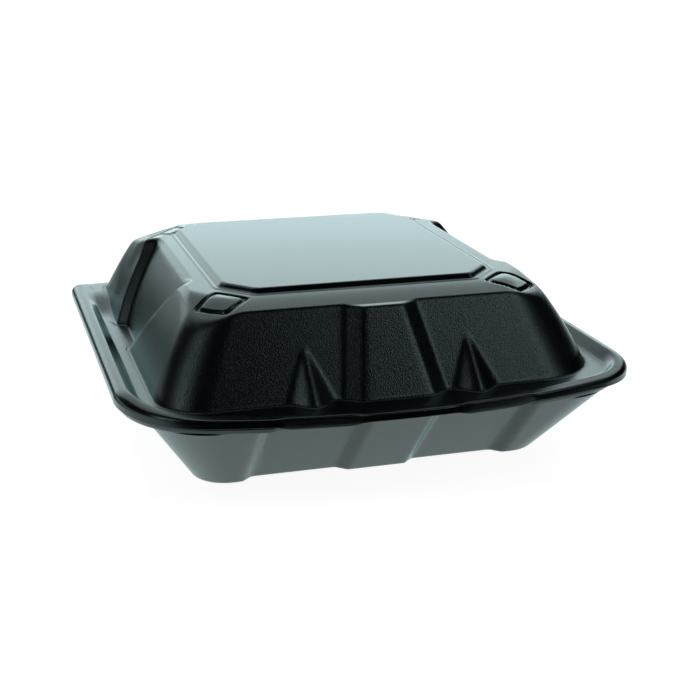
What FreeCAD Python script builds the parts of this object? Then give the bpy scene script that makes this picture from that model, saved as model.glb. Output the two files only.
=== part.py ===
import FreeCAD, Part
import math
import os

# Foam clamshell container: a square tray and a square lid, thermoformed from one foam sheet,
# joined along the back edge and held shut by two tabs at the front.
# Millimetres. +Z up, +X right, the hinge at +Y, the tabs at -Y, origin under the middle of the base.

os.makedirs("parts", exist_ok=True)
V = FreeCAD.Vector

# Overall sizes
width = 214.0
depth = 207.0
height = 76.0
parting_height = 38.0
sheet = 2.2

# The meeting of the two halves
seal_gap = 0.2
hinge_gap = 0.1

# Outline of the rims, seen from above
front_bow_radius = 330.0
front_corner_radius = 40.0
hinge_corner_radius = 4.0

# Rim of the tray
tray_rim_thickness = 2.7
tray_rim_setback = 1.0
tab_notch_half_length = 53.5
tab_notch_edge = -96.6
tab_notch_corner = 3.5

# Walls of the tray
tray_foot_half_width = 75.0
tray_foot_front = -60.5
tray_foot_back = 66.0
tray_foot_corner = 14.0
tray_mouth_half_width = 98.5
tray_mouth_front = -96.0
tray_mouth_back = 91.0
tray_mouth_corner = 27.0
tray_foot_round = 2.5

# Recessed panels in the tray's front wall
tray_panel_inner = 16.9
tray_panel_outer = 52.6
tray_panel_depth = 4.0
tray_panel_side_run = 4.5

# Recessed panel in each of the tray's side walls
tray_side_panel_middle = 8.0
tray_side_panel_half_length = 26.0

# Walls of the lid, at the ledge and at the shoulder
lid_foot_half_width = 92.6
lid_foot_front = -82.4
lid_foot_back = 99.3
lid_foot_corner = 19.0
lid_top_half_width = 72.6
lid_top_front = -60.1
lid_top_back = 89.0
lid_top_corner = 15.0
lid_shoulder_height = 74.1
lid_shoulder_round = 2.6

# Ledge and bead round the lid's rim, and the raised rail along the hinge
lid_rim_sheet = 2.0
bead_height = 6.0
bead_top_width = 5.4
bead_foot_width = 9.0
bead_round = 3.9
bead_drop_start = -70.0
bead_drop_end = -97.0
rail_width = 19.5
lip_height = 3.0

# Tabs on the lid's front lip
tab_inner = 20.5
tab_outer = 49.5
tab_bulge = 0.6
tab_hang = 0.9
tab_rise = 0.8
tab_back = 2.2
tab_end_round = 1.2

# Raised middle panel of the lid's front wall
front_panel_rise = 4.3
front_panel_foot_half = 15.5
front_panel_top_half = 8.6
front_panel_side_run = 5.0

# Recess between the pilasters of each of the lid's side walls
side_recess_depth = 4.3
side_recess_middle = 22.0
side_recess_foot_half = 12.5
side_recess_top_half = 36.5
side_recess_side_run = 7.0

# Rounded buttresses on the lid's front wall
buttress_offset = 34.0
buttress_peak_height = 57.0
buttress_half_width = 8.5
buttress_reach = 6.3
buttress_tip = 1.6

# Top panel of the lid
panel_half_width = 57.5
panel_front = -44.2
panel_back = 81.2
panel_chamfer_x = 11.2
panel_chamfer_y = 12.1
panel_step_run = 2.4

# Dipped corners of the lid, each with a lozenge lug in a moat
corner_dip_x = 21.0
corner_dip_y = 27.0
corner_drop = 4.6
lug_inset_x = 10.9
lug_inset_y = 11.4
lug_half_width = 5.0
lug_half_length = 11.5
lug_end_taper = 5.0
moat_width = 1.8
moat_depth = 1.0

# Heights that follow from the sizes above
tray_top = parting_height - seal_gap / 2
lid_bottom = parting_height + seal_gap / 2
ledge_height = lid_bottom + lid_rim_sheet
bead_top = lid_bottom + bead_height
lip_top = lid_bottom + lip_height
hinge_line = depth / 2
back_edge = hinge_line - hinge_gap / 2


def blend(low, high, share):
    return low + (high - low) * share


def corner(cx, cy, radius, start, z):
    angles = [math.radians(start + step) for step in (0.0, 45.0, 90.0)]
    points = [V(cx + radius * math.cos(a), cy + radius * math.sin(a), z) for a in angles]
    return Part.Arc(points[0], points[1], points[2]).toShape()


def line(a, b):
    return Part.makeLine(a, b)


def rounded_outline(half, front, back, radius, z):
    # Rectangle with four equal corner arcs, anticlockwise from the front edge.
    inner = half - radius
    edges = [
        line(V(-inner, front, z), V(inner, front, z)),
        corner(inner, front + radius, radius, -90.0, z),
        line(V(half, front + radius, z), V(half, back - radius, z)),
        corner(inner, back - radius, radius, 0.0, z),
        line(V(inner, back, z), V(-inner, back, z)),
        corner(-inner, back - radius, radius, 90.0, z),
        line(V(-half, back - radius, z), V(-half, front + radius, z)),
        corner(-inner, front + radius, radius, 180.0, z),
    ]
    return Part.Wire(edges)


def rim_outline(inset, back, z):
    # Bowed front edge, large front corners, straight sides and nearly square hinge corners.
    half = width / 2
    side = half - inset
    radius = front_corner_radius - inset
    bow = front_bow_radius - inset
    bow_y = front_bow_radius - depth / 2
    cx = half - front_corner_radius
    reach = front_bow_radius - front_corner_radius
    cy = bow_y - math.sqrt(reach * reach - cx * cx)
    join = math.atan2(cy - bow_y, cx)
    join_x = bow * math.cos(join)
    join_y = bow_y + bow * math.sin(join)
    middle = join / 2
    hinge_round = max(hinge_corner_radius - inset, 0.5)
    bow_arc = Part.Arc(V(-join_x, join_y, z), V(0, bow_y - bow, z), V(join_x, join_y, z))
    right_mid = V(cx + radius * math.cos(middle), cy + radius * math.sin(middle), z)
    left_mid = V(-right_mid.x, right_mid.y, z)
    right_arc = Part.Arc(V(join_x, join_y, z), right_mid, V(side, cy, z))
    left_arc = Part.Arc(V(-side, cy, z), left_mid, V(-join_x, join_y, z))
    edges = [
        bow_arc.toShape(),
        right_arc.toShape(),
        line(V(side, cy, z), V(side, back - hinge_round, z)),
        corner(side - hinge_round, back - hinge_round, hinge_round, 0.0, z),
        line(V(side - hinge_round, back, z), V(hinge_round - side, back, z)),
        corner(hinge_round - side, back - hinge_round, hinge_round, 90.0, z),
        line(V(-side, back - hinge_round, z), V(-side, cy, z)),
        left_arc.toShape(),
    ]
    return Part.Wire(edges)


def loft(lower, upper):
    return Part.makeLoft([lower, upper], True, True)


def prism(wire, rise):
    return Part.Face(wire).extrude(V(0, 0, rise))


def polygon(points):
    return Part.makePolygon(points + [points[0]])


def mirrored_x(shape):
    return shape.mirror(V(0, 0, 0), V(1, 0, 0))


def edges_at_height(shape, z):
    return [e for e in shape.Edges if max(abs(e.BoundBox.ZMin - z), abs(e.BoundBox.ZMax - z)) < 1e-4]


def edges_upright(shape):
    boxes = [(e, e.BoundBox) for e in shape.Edges]
    return [e for e, box in boxes if box.ZLength > 1.0 and box.XLength + box.YLength < 1e-4]


def slope_inset(run, rise):
    # Horizontal thickness of a sloping wall that is one sheet thick.
    return sheet * math.sqrt(run * run + rise * rise) / rise


def half_space_above(point, normal):
    size = 2.0 * width
    box = Part.makeBox(size, size, size, V(-size / 2, -size / 2, 0))
    box.Placement = FreeCAD.Placement(point, FreeCAD.Rotation(V(0, 0, 1), normal))
    return box


# Tray walls
tray_inset = slope_inset(tray_mouth_half_width - tray_foot_half_width, parting_height)
tray_front_inset = slope_inset(tray_foot_front - tray_mouth_front, parting_height)


def tray_outline(z, inset, front_inset):
    share = z / parting_height
    half = blend(tray_foot_half_width, tray_mouth_half_width, share)
    front = blend(tray_foot_front, tray_mouth_front, share)
    back = blend(tray_foot_back, tray_mouth_back, share)
    radius = blend(tray_foot_corner, tray_mouth_corner, share)
    return rounded_outline(half - inset, front + front_inset, back - inset, radius - inset, z)


def front_panel_cut(z, inset):
    # One recessed panel of the tray's front wall at one height, widened past the wall's face.
    face = blend(tray_foot_front, tray_mouth_front, z / parting_height)
    floor = face + tray_panel_depth + inset
    outside = floor - 2 * tray_panel_depth
    run = 2 * tray_panel_side_run
    side = sheet if inset > 0 else 0.0
    return polygon([
        V(tray_panel_inner - side, floor, z),
        V(tray_panel_outer + side, floor, z),
        V(tray_panel_outer + side + run, outside, z),
        V(tray_panel_inner - side - run, outside, z),
    ])


def side_panel_cut(z, inset):
    face = blend(tray_foot_half_width, tray_mouth_half_width, z / parting_height)
    floor = face - tray_panel_depth - inset
    outside = floor + 2 * tray_panel_depth
    half = tray_side_panel_half_length + (sheet if inset > 0 else 0.0)
    run = 2 * tray_panel_side_run
    return polygon([
        V(floor, tray_side_panel_middle - half, z),
        V(outside, tray_side_panel_middle - half - run, z),
        V(outside, tray_side_panel_middle + half + run, z),
        V(floor, tray_side_panel_middle + half, z),
    ])


def tray_cuts(bottom, top, front_inset, side_inset):
    front = loft(front_panel_cut(bottom, front_inset), front_panel_cut(top, front_inset))
    side = loft(side_panel_cut(bottom, side_inset), side_panel_cut(top, side_inset))
    return [front, mirrored_x(front), side, mirrored_x(side)]


tray_body = loft(tray_outline(0.0, 0.0, 0.0), tray_outline(tray_top, 0.0, 0.0))
tray_body = tray_body.makeFillet(tray_foot_round, edges_at_height(tray_body, 0.0))
rim_underside = tray_top - tray_rim_thickness
for cut in tray_cuts(-1.0, rim_underside, 0.0, 0.0):
    tray_body = tray_body.cut(cut)

# Tray rim, set back between the ends of the tabs
tray_rim = prism(rim_outline(tray_rim_setback, back_edge, rim_underside), tray_rim_thickness)
notch = Part.makeBox(2 * tab_notch_half_length, depth, 3 * tray_rim_thickness)
notch.translate(V(-tab_notch_half_length, tab_notch_edge - depth, rim_underside - tray_rim_thickness))
notch_ends = [e for e in edges_upright(notch) if e.BoundBox.YMin > tab_notch_edge - 1]
notch = notch.makeFillet(tab_notch_corner, notch_ends)
tray_rim = tray_rim.cut(notch)

# Inside of the tray
tray_hollow = loft(
    tray_outline(sheet, tray_inset, tray_front_inset),
    tray_outline(tray_top + sheet, tray_inset, tray_front_inset),
)
tray_hollow = tray_hollow.makeFillet(tray_foot_round, edges_at_height(tray_hollow, sheet))
for cut in tray_cuts(-1.0, tray_top + 2 * sheet, tray_front_inset, tray_inset):
    tray_hollow = tray_hollow.cut(cut)

base_tray = tray_body.fuse(tray_rim).cut(tray_hollow).removeSplitter()

# Lid walls
lid_wall_rise = lid_shoulder_height - ledge_height
lid_inset = slope_inset(lid_foot_half_width - lid_top_half_width, lid_wall_rise)
lid_front_inset = slope_inset(lid_top_front - lid_foot_front, lid_wall_rise)


def lid_share(z):
    return (z - ledge_height) / lid_wall_rise


def lid_outline(z, inset, front_inset):
    share = lid_share(z)
    half = blend(lid_foot_half_width, lid_top_half_width, share)
    front = blend(lid_foot_front, lid_top_front, share)
    back = blend(lid_foot_back, lid_top_back, share)
    radius = blend(lid_foot_corner, lid_top_corner, share)
    return rounded_outline(half - inset, front + front_inset, back - inset, radius - inset, z)


def middle_panel(z, inset, narrower):
    wall = blend(lid_foot_front, lid_top_front, lid_share(z))
    face = wall - front_panel_rise + inset
    half = blend(front_panel_foot_half, front_panel_top_half, lid_share(z)) - narrower
    root = wall + front_panel_rise + inset
    run = 2 * front_panel_side_run
    return polygon([
        V(-half, face, z),
        V(half, face, z),
        V(half + run, root, z),
        V(-half - run, root, z),
    ])


def pilaster_recess(z, inset):
    face = blend(lid_foot_half_width, lid_top_half_width, lid_share(z))
    floor = face - side_recess_depth - inset
    outside = floor + 2 * side_recess_depth
    half = blend(side_recess_foot_half, side_recess_top_half, lid_share(z))
    half = half + (sheet if inset > 0 else 0.0)
    run = 2 * side_recess_side_run
    return polygon([
        V(floor, side_recess_middle - half, z),
        V(outside, side_recess_middle - half - run, z),
        V(outside, side_recess_middle + half + run, z),
        V(floor, side_recess_middle + half, z),
    ])


def buttress(bottom, thinner):
    # A leaning half cone on the front wall, widest where it stands on the ledge.
    def section(z):
        share = (buttress_peak_height - z) / (buttress_peak_height - ledge_height)
        wide = buttress_half_width * share - thinner
        deep = buttress_reach * share - thinner * buttress_reach / buttress_half_width
        wall = blend(lid_foot_front, lid_top_front, lid_share(z))
        return Part.Wire([Part.Ellipse(V(buttress_offset, wall, z), wide, deep).toShape()])
    slope = (buttress_peak_height - ledge_height) / buttress_half_width
    tip = buttress_peak_height - (buttress_tip + thinner) * slope
    return loft(section(bottom), section(tip))


def octagon(z, grow_x, grow_y):
    side = panel_half_width + grow_x
    front = panel_front - grow_y
    back = panel_back + grow_y
    return polygon([
        V(panel_chamfer_x - side, front, z),
        V(side - panel_chamfer_x, front, z),
        V(side, front + panel_chamfer_y, z),
        V(side, back - panel_chamfer_y, z),
        V(side - panel_chamfer_x, back, z),
        V(panel_chamfer_x - side, back, z),
        V(-side, back - panel_chamfer_y, z),
        V(-side, front + panel_chamfer_y, z),
    ])


def corner_dips(lowered):
    # Four sloping planes that lower the corners of the shoulder.
    spaces = []
    for x_sign in (-1, 1):
        for y_sign, edge in ((-1, lid_top_front), (1, lid_top_back)):
            tip_x = x_sign * lid_top_half_width
            first = V(tip_x - x_sign * corner_dip_x, edge, lid_shoulder_height)
            second = V(tip_x, edge - y_sign * corner_dip_y, lid_shoulder_height)
            third = V(tip_x, edge, lid_shoulder_height - corner_drop)
            normal = (second - first).cross(third - first)
            normal.normalize()
            if normal.z < 0:
                normal = normal * -1
            spaces.append(half_space_above(first - normal * lowered, normal))
    return spaces


def lozenge(grow, x_sign, y_sign, edge):
    middle_x = x_sign * (lid_top_half_width - lug_inset_x)
    middle_y = edge - y_sign * lug_inset_y
    wide = lug_half_width + grow
    long = lug_half_length + grow
    taper = lug_end_taper + grow / 2
    z = ledge_height
    points = [
        V(middle_x - x_sign * wide, middle_y - y_sign * (long - taper), z),
        V(middle_x + x_sign * (wide - taper), middle_y - y_sign * long, z),
        V(middle_x + x_sign * wide, middle_y - y_sign * (long - taper), z),
        V(middle_x + x_sign * wide, middle_y + y_sign * (long - taper), z),
        V(middle_x - x_sign * (wide - taper), middle_y + y_sign * long, z),
        V(middle_x - x_sign * wide, middle_y + y_sign * (long - taper), z),
    ]
    return prism(polygon(points), height)


def bead_drop(lowered):
    # Space above the bead where it sinks into the low lip along the front.
    high = bead_top - lowered
    low = lip_top - lowered
    far = bead_drop_end - depth
    points = [
        V(-width, bead_drop_start, high),
        V(-width, bead_drop_end, low),
        V(-width, far, low),
        V(-width, far, high + height),
        V(-width, bead_drop_start, high + height),
    ]
    return Part.Face(polygon(points)).extrude(V(2 * width, 0, 0))


# Lid rim: a flat ledge inside a rounded bead
rim_plate = prism(rim_outline(0.0, back_edge, lid_bottom), bead_height)
rim_plate = rim_plate.makeFillet(bead_round, edges_at_height(rim_plate, bead_top))
groove_top = bead_top + sheet
groove_spread = (bead_foot_width - bead_top_width) / (bead_top - ledge_height)
groove_rise = groove_spread * (groove_top - ledge_height)
groove = loft(
    rim_outline(bead_foot_width, back_edge - rail_width, ledge_height),
    rim_outline(bead_foot_width - groove_rise, back_edge - rail_width + groove_rise, groove_top),
)
lid_rim = rim_plate.cut(groove).cut(bead_drop(0.0))

# Tabs
tab_foot = lid_bottom - tab_hang
tab_height = tab_hang + lip_height + tab_rise
tab_ring = prism(rim_outline(-tab_bulge, back_edge, tab_foot), tab_height)
tab_core = prism(rim_outline(tab_back, back_edge - tab_back, tab_foot), tab_height)
tab_block = Part.makeBox(tab_outer - tab_inner, depth, height)
tab_block.translate(V(tab_inner, -depth, 0))
tab = tab_ring.cut(tab_core).common(tab_block)
tab = tab.makeFillet(tab_end_round, [e for e in edges_upright(tab) if e.BoundBox.YMax < 0])

# Outside of the lid
lid_body = loft(lid_outline(lid_bottom, 0.0, 0.0), lid_outline(lid_shoulder_height, 0.0, 0.0))
lid_body = lid_body.makeFillet(lid_shoulder_round, edges_at_height(lid_body, lid_shoulder_height))
for dip in corner_dips(0.0):
    lid_body = lid_body.cut(dip)
panel_wall_top = lid_shoulder_height - lid_shoulder_round / 3
panel_wall = loft(middle_panel(lid_bottom, 0.0, 0.0), middle_panel(panel_wall_top, 0.0, 0.0))
recess_top = lid_shoulder_height + sheet
recess = loft(pilaster_recess(ledge_height, 0.0), pilaster_recess(recess_top, 0.0))
panel_root = lid_shoulder_height - sheet / 2
top_panel = loft(octagon(panel_root, panel_step_run, panel_step_run), octagon(height, 0.0, 0.0))
lid_solid = lid_body.cut(recess).cut(mirrored_x(recess))
lid_solid = lid_solid.fuse([panel_wall, top_panel, lid_rim, tab, mirrored_x(tab)])
outer_buttress = buttress(lid_bottom, 0.0)
lid_solid = lid_solid.fuse([outer_buttress, mirrored_x(outer_buttress)])

# Inside of the lid
ceiling = lid_shoulder_height - sheet
lid_hollow = loft(lid_outline(parting_height - sheet, lid_inset, lid_front_inset),
                  lid_outline(ceiling, lid_inset, lid_front_inset))
for dip in corner_dips(sheet):
    lid_hollow = lid_hollow.cut(dip)
inner_recess = loft(pilaster_recess(parting_height - 2 * sheet, lid_inset),
                    pilaster_recess(recess_top, lid_inset))
lid_hollow = lid_hollow.cut(inner_recess).cut(mirrored_x(inner_recess))
panel_hollow = loft(middle_panel(parting_height - sheet, lid_front_inset, sheet / 2),
                    middle_panel(ceiling, lid_front_inset, sheet / 2))
top_hollow = loft(octagon(ceiling - sheet, panel_step_run - sheet, panel_step_run - sheet),
                  octagon(height - sheet, -sheet, -sheet))
inner_buttress = buttress(parting_height - sheet, sheet)
lid_hollow = lid_hollow.fuse([panel_hollow, top_hollow, inner_buttress, mirrored_x(inner_buttress)])

# Hollow under the bead
hollow_side = rim_outline(lid_rim_sheet, back_edge - lid_rim_sheet, parting_height - sheet)
hollow_height = bead_top - lid_rim_sheet
bead_hollow = prism(hollow_side, hollow_height - parting_height + sheet)
hollow_foot = bead_foot_width - groove_spread * lid_rim_sheet
core_low = hollow_foot + groove_spread * sheet
core_high = hollow_foot - groove_spread * bead_height
core_back = back_edge - rail_width + bead_foot_width
bead_core = loft(
    rim_outline(core_low, core_back - core_low, lid_bottom - sheet),
    rim_outline(core_high, core_back - core_high, bead_top),
)
bead_hollow = bead_hollow.cut(bead_core).cut(bead_drop(lid_rim_sheet))
lid = lid_solid.cut(lid_hollow).cut(bead_hollow)

# Moats round the lugs
for x_sign in (-1, 1):
    for y_sign, edge in ((-1, lid_top_front), (1, lid_top_back)):
        moat = lozenge(moat_width, x_sign, y_sign, edge).cut(lozenge(0.0, x_sign, y_sign, edge))
        for space in corner_dips(moat_depth):
            inside = moat.common(space)
            corner = V(x_sign * lid_top_half_width, edge, height)
            if inside.Volume > 0 and space.isInside(corner, 0.01, True):
                lid = lid.cut(inside)

lid = lid.removeSplitter()

base_tray.exportStep("parts/base_tray.step")
lid.exportStep("parts/lid.step")
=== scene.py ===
import logging
import math
from dataclasses import dataclass, field
from enum import Enum
from typing import Callable, Sequence

import bpy
import numpy as np
from mathutils import Matrix, Vector


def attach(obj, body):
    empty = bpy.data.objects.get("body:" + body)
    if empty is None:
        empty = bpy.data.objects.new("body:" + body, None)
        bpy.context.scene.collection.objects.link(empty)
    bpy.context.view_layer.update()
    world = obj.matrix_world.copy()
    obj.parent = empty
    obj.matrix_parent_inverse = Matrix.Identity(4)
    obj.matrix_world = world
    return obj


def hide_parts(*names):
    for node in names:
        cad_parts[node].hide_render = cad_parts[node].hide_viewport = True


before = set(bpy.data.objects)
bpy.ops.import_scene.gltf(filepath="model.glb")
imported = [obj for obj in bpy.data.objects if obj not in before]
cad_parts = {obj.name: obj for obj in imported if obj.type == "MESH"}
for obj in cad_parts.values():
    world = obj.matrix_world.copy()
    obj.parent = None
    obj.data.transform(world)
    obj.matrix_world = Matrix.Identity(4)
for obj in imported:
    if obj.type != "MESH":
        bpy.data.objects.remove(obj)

LOG = logging.getLogger("foam_container")
MM = 0.001
Array = np.ndarray
Plan = tuple[Array, Array]
Pair = tuple[float, float]
Triple = tuple[float, float, float]
Quad = tuple[float, float, float, float]
Height = Callable[[Array, Array], Array | float]


def smooth_min(a: Array | float, b: Array | float, k: float) -> Array:
    """The smaller of two values, rounded where they lie within k of each other.

    Args:
        a: First value.
        b: Second value.
        k: Half width of the rounded range, in the values' own unit.

    Returns:
        min(a, b) less k h (1 - h), where h runs from 0 to 1 as b - a runs from -k to k.
    """
    h = np.clip(0.5 + 0.5 * (b - a) / k, 0.0, 1.0)
    return b * (1 - h) + a * h - k * h * (1 - h)


def smooth_max(a: Array | float, b: Array | float, k: float) -> Array:
    """The larger of two values, rounded where they lie within k of each other."""
    return -smooth_min(-np.asarray(a, float), -np.asarray(b, float), k)


def ramp(x: Array | float, soft: float = 0.15) -> Array:
    """The value held between 0 and 1, with both of its corners rounded by soft."""
    return smooth_max(smooth_min(x, 1.0, soft), 0.0, soft)


def between(low: float | Array, high: float | Array, share: Array | float) -> Array:
    """The value at a share of the way from low to high, carried on past both ends."""
    return low + (high - low) * np.asarray(share, float)


def far_side(start: Plan, way: Plan, middle: Plan, radius: Array | float) -> Array:
    """Distance from a start, along a way of length 1, to the far side of a circle.

    It is -b + sqrt(b^2 - c), with b the way times the start, seen from the circle's middle, and
    c the square of their distance less the square of the radius. A miss counts as a touch.
    """
    x, y = start[0] - middle[0], start[1] - middle[1]
    b, c = way[0] * x + way[1] * y, x ** 2 + y ** 2 - radius * radius
    return -b + np.sqrt(np.maximum(b * b - c, 0.0))


def placed(name: str, data: bpy.types.ID) -> bpy.types.Object:
    """A new object in the scene that holds some data."""
    obj = bpy.data.objects.new(name, data)
    bpy.context.scene.collection.objects.link(obj)
    return obj


class Wall(Enum):
    """Which side of the ring a column stands on."""

    FRONT = 0
    RIGHT = 1
    BACK = 2
    LEFT = 3
    CORNER = 4


@dataclass(frozen=True)
class Key:
    """Where one column line crosses each level of a wall, and how many cells follow it.

    A place is millimetres along the wall: X on the front and back, Y on the sides.
    """

    rim: float
    foot: float
    top: float
    panel: float
    cells: int


def keys(*rows: tuple[float, float, float, float, int]) -> tuple[Key, ...]:
    """Keys from rows of their five values."""
    return tuple(Key(*row) for row in rows)


@dataclass(frozen=True)
class Octagon:
    """Plan of a raised or sunk panel: a rectangle with its corners cut off."""

    half: float
    front: float
    back: float
    cut_x: float
    cut_y: float


class Columns:
    """The ring of columns that every skin of one half is laid out on.

    Columns run round the container anticlockwise from the left end of the front wall. Each has
    an outward direction, and an origin at each level, so that a point of an outline is the
    origin plus the direction times a distance.
    """

    def __init__(
        self, front: Sequence[Key], side: Sequence[Key], back: Sequence[Key], corner: int
    ) -> None:
        """Lays the columns out.

        Args:
            front: Keys of the front wall from its middle to its right end; the rest is mirrored.
            side: Keys of a side wall from front to back.
            back: Keys of the back wall from its middle to its right end; the rest is mirrored.
            corner: Cells round each corner.
        """
        self.levels = ("rim", "foot", "top", "panel")
        side_run = self._stations(side)
        front_ends, back_ends = (front[-1], side[0]), (back[-1], side[-1])
        share = np.arange(1, corner) / corner
        parts = [
            self._straight(Wall.FRONT, self._stations(self._mirrored(front)), 1),
            self._corner(front_ends, 1, -1, -90.0, share, share),
            self._straight(Wall.RIGHT, side_run, 1),
            self._corner(back_ends, 1, 1, 0.0, share, 1 - share),
            self._straight(Wall.BACK, self._stations(self._mirrored(back)), -1),
            self._corner(back_ends, -1, 1, 90.0, share, share),
            self._straight(Wall.LEFT, side_run, -1),
            self._corner(front_ends, -1, -1, 180.0, share, 1 - share),
        ]
        joined = {k: np.concatenate([p[k] for p in parts]) for k in parts[0]}
        self.wall, self.side_share = joined["wall"], joined["side_share"]
        self.nx, self.ny, self.sx, self.sy = (joined[k] for k in ("nx", "ny", "sx", "sy"))
        self.origin = {name: (joined[name + "_x"], joined[name + "_y"]) for name in self.levels}
        self.count = len(self.nx)

    @staticmethod
    def _mirrored(keys: Sequence[Key]) -> list[Key]:
        """Keys from the middle outwards, made into keys from one end to the other."""
        left = [
            Key(-k.rim, -k.foot, -k.top, -k.panel, before.cells)
            for before, k in zip(keys, keys[1:])
        ]
        return left[::-1] + list(keys)

    def _stations(self, keys: Sequence[Key]) -> dict[str, Array]:
        """Places along a wall at each level, one for each column, evenly spaced between keys."""
        counts = np.cumsum([0] + [k.cells for k in keys[:-1]])
        steps = np.arange(counts[-1] + 1)
        return {
            name: np.interp(steps, counts, [getattr(k, name) for k in keys])
            for name in self.levels
        }

    def _straight(self, wall: Wall, run: dict[str, Array], order: int) -> dict[str, Array]:
        """Columns of one straight wall, in the order that goes round anticlockwise."""
        n = len(run["rim"])
        zero = np.zeros(n)
        direction = {
            Wall.FRONT: (0, -1), Wall.RIGHT: (1, 0), Wall.BACK: (0, 1), Wall.LEFT: (-1, 0),
        }[wall]
        nx, ny = zero + direction[0], zero + direction[1]
        made = {"wall": np.full(n, wall.value), "nx": nx, "ny": ny}
        across = wall in (Wall.FRONT, Wall.BACK)
        for name in self.levels:
            along = run[name][::order]
            made[name + "_x"], made[name + "_y"] = (along, zero) if across else (zero, along)
        made["sx"] = np.sign(made["top_x"]) if across else zero + direction[0]
        made["sy"] = zero + (direction[1] if across else 1)
        made["side_share"] = zero
        return made

    def _corner(
        self, ends: tuple[Key, Key], sx: int, sy: int, start: float, share: Array, side_share: Array
    ) -> dict[str, Array]:
        """Columns that fan out from a corner's centre, between the ends of two walls."""
        turn = np.radians(start + 90.0 * share)
        zero = np.zeros(len(share))
        wall = np.full(len(share), Wall.CORNER.value)
        made = {"wall": wall, "nx": np.cos(turn), "ny": np.sin(turn)}
        for name in self.levels:
            made[name + "_x"] = zero + sx * getattr(ends[0], name)
            made[name + "_y"] = zero + getattr(ends[1], name)
        made.update(sx=zero + sx, sy=zero + sy, side_share=side_share)
        return made

    def on(self, wall: Wall) -> Array:
        """Mask of the columns that stand on one wall."""
        return self.wall == wall.value

    def along(self, share: Array | float) -> Plan:
        """Origins at a share of the way from the foot level to the top level."""
        (fx, fy), (tx, ty) = self.origin["foot"], self.origin["top"]
        return between(fx, tx, share), between(fy, ty, share)

    def outline(self, half: Array, front: Array, back: Array, radius: Array) -> Array:
        """Distances from the origins to a rectangle with round corners, by its four measures."""
        reach = np.zeros_like(half + 0.0 * self.nx)
        for wall, distance in zip(Wall, (-front, half, back, half, radius)):
            reach = np.where(self.on(wall), distance, reach)
        return reach

    def panel(self, plan: Octagon, grow: float | Array) -> Plan:
        """Points on a panel's outline, grown by some millimetres each way.

        Args:
            plan: The panel's plan.
            grow: Growth; a column of values gives one row of points for each.

        Returns:
            X and Y of the points, on the straight edges in proportion, and along the cut corners.
        """
        px, py = self.origin["panel"]
        middle = (plan.front + plan.back) / 2
        run_x = plan.half - plan.cut_x
        run_y = (plan.back - plan.front) / 2 - plan.cut_y
        on_side = self.on(Wall.RIGHT) | self.on(Wall.LEFT)
        x = np.where(on_side, self.nx * (plan.half + grow), px * (run_x + grow) / run_x)
        edge = np.where(self.sy < 0, plan.front - grow, plan.back + grow)
        y = np.where(on_side, middle + (py - middle) * (run_y + grow) / run_y, edge)
        cut_x = self.sx * between(run_x + grow, plan.half + grow, self.side_share)
        cut_y = edge - self.sy * plan.cut_y * self.side_share
        is_corner = self.on(Wall.CORNER)
        return np.where(is_corner, cut_x, x), np.where(is_corner, cut_y, y)


@dataclass(frozen=True)
class RimPlan:
    """Outline of a rim: bowed front, large front corners, straight sides, small hinge corners."""

    half: float = 107.0
    bow_radius: float = 330.0
    bow_y: float = 226.5
    left_radius: float = 40.0
    right_radius: float = 40.0
    hinge_radius: float = 4.0
    back: float = 103.45

    def reach(self, columns: Columns, inset: Array | float, back_inset: Array | float) -> Array:
        """Distance from each column's rim origin to the outline drawn in by an inset.

        Each column's ray meets the side line, the bow circle, the front corner circle, the back
        line or the hinge corner circle, and the one whose arc holds the meeting point counts.

        Args:
            columns: The ring of columns.
            inset: How far the outline lies inside the rim's edge.
            back_inset: The same at the hinge edge.

        Returns:
            Distances along the columns' directions.
        """
        ox, oy = columns.origin["rim"]
        sign = np.where(columns.sx < 0, -1.0, 1.0)
        ox, dx, dy = ox * sign, columns.nx * sign, columns.ny
        inset = inset + 0.0 * ox
        back = self.back - back_inset
        corner = np.where(columns.sx < 0, self.left_radius, self.right_radius)
        side, radius, bow = self.half - inset, corner - inset, self.bow_radius - inset
        cx = self.half - corner
        cy = self.bow_y - np.sqrt((self.bow_radius - corner) ** 2 - cx * cx)
        join_x = bow * np.cos(np.arctan2(cy - self.bow_y, cx))
        hinge = np.maximum(self.hinge_radius - inset, 0.5)
        far = 1e6
        t_side = np.where(dx > 1e-9, (side - ox) / np.maximum(dx, 1e-9), far)
        t_back = np.where(dy > 1e-9, (back - oy) / np.maximum(dy, 1e-9), far)
        t_bow = far_side((ox, oy), (dx, dy), (0.0, self.bow_y), bow)
        side_y = oy + t_side * dy
        use_side = (t_side < far) & (side_y >= cy) & (side_y <= back - hinge)
        use_back = (t_back < far) & (ox + t_back * dx <= side - hinge)
        use_bow = (dy < 0) & (ox + t_bow * dx <= join_x)
        use_hinge = (dy > 0) & ~use_side & ~use_back
        t = far_side((ox, oy), (dx, dy), (cx, cy), radius)
        t_hinge = far_side((ox, oy), (dx, dy), (side - hinge, back - hinge), hinge)
        t = np.where(use_hinge, t_hinge, t)
        t = np.where(use_bow, t_bow, t)
        t = np.where(use_back, t_back, t)
        return np.where(use_side, t_side, t)


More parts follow.
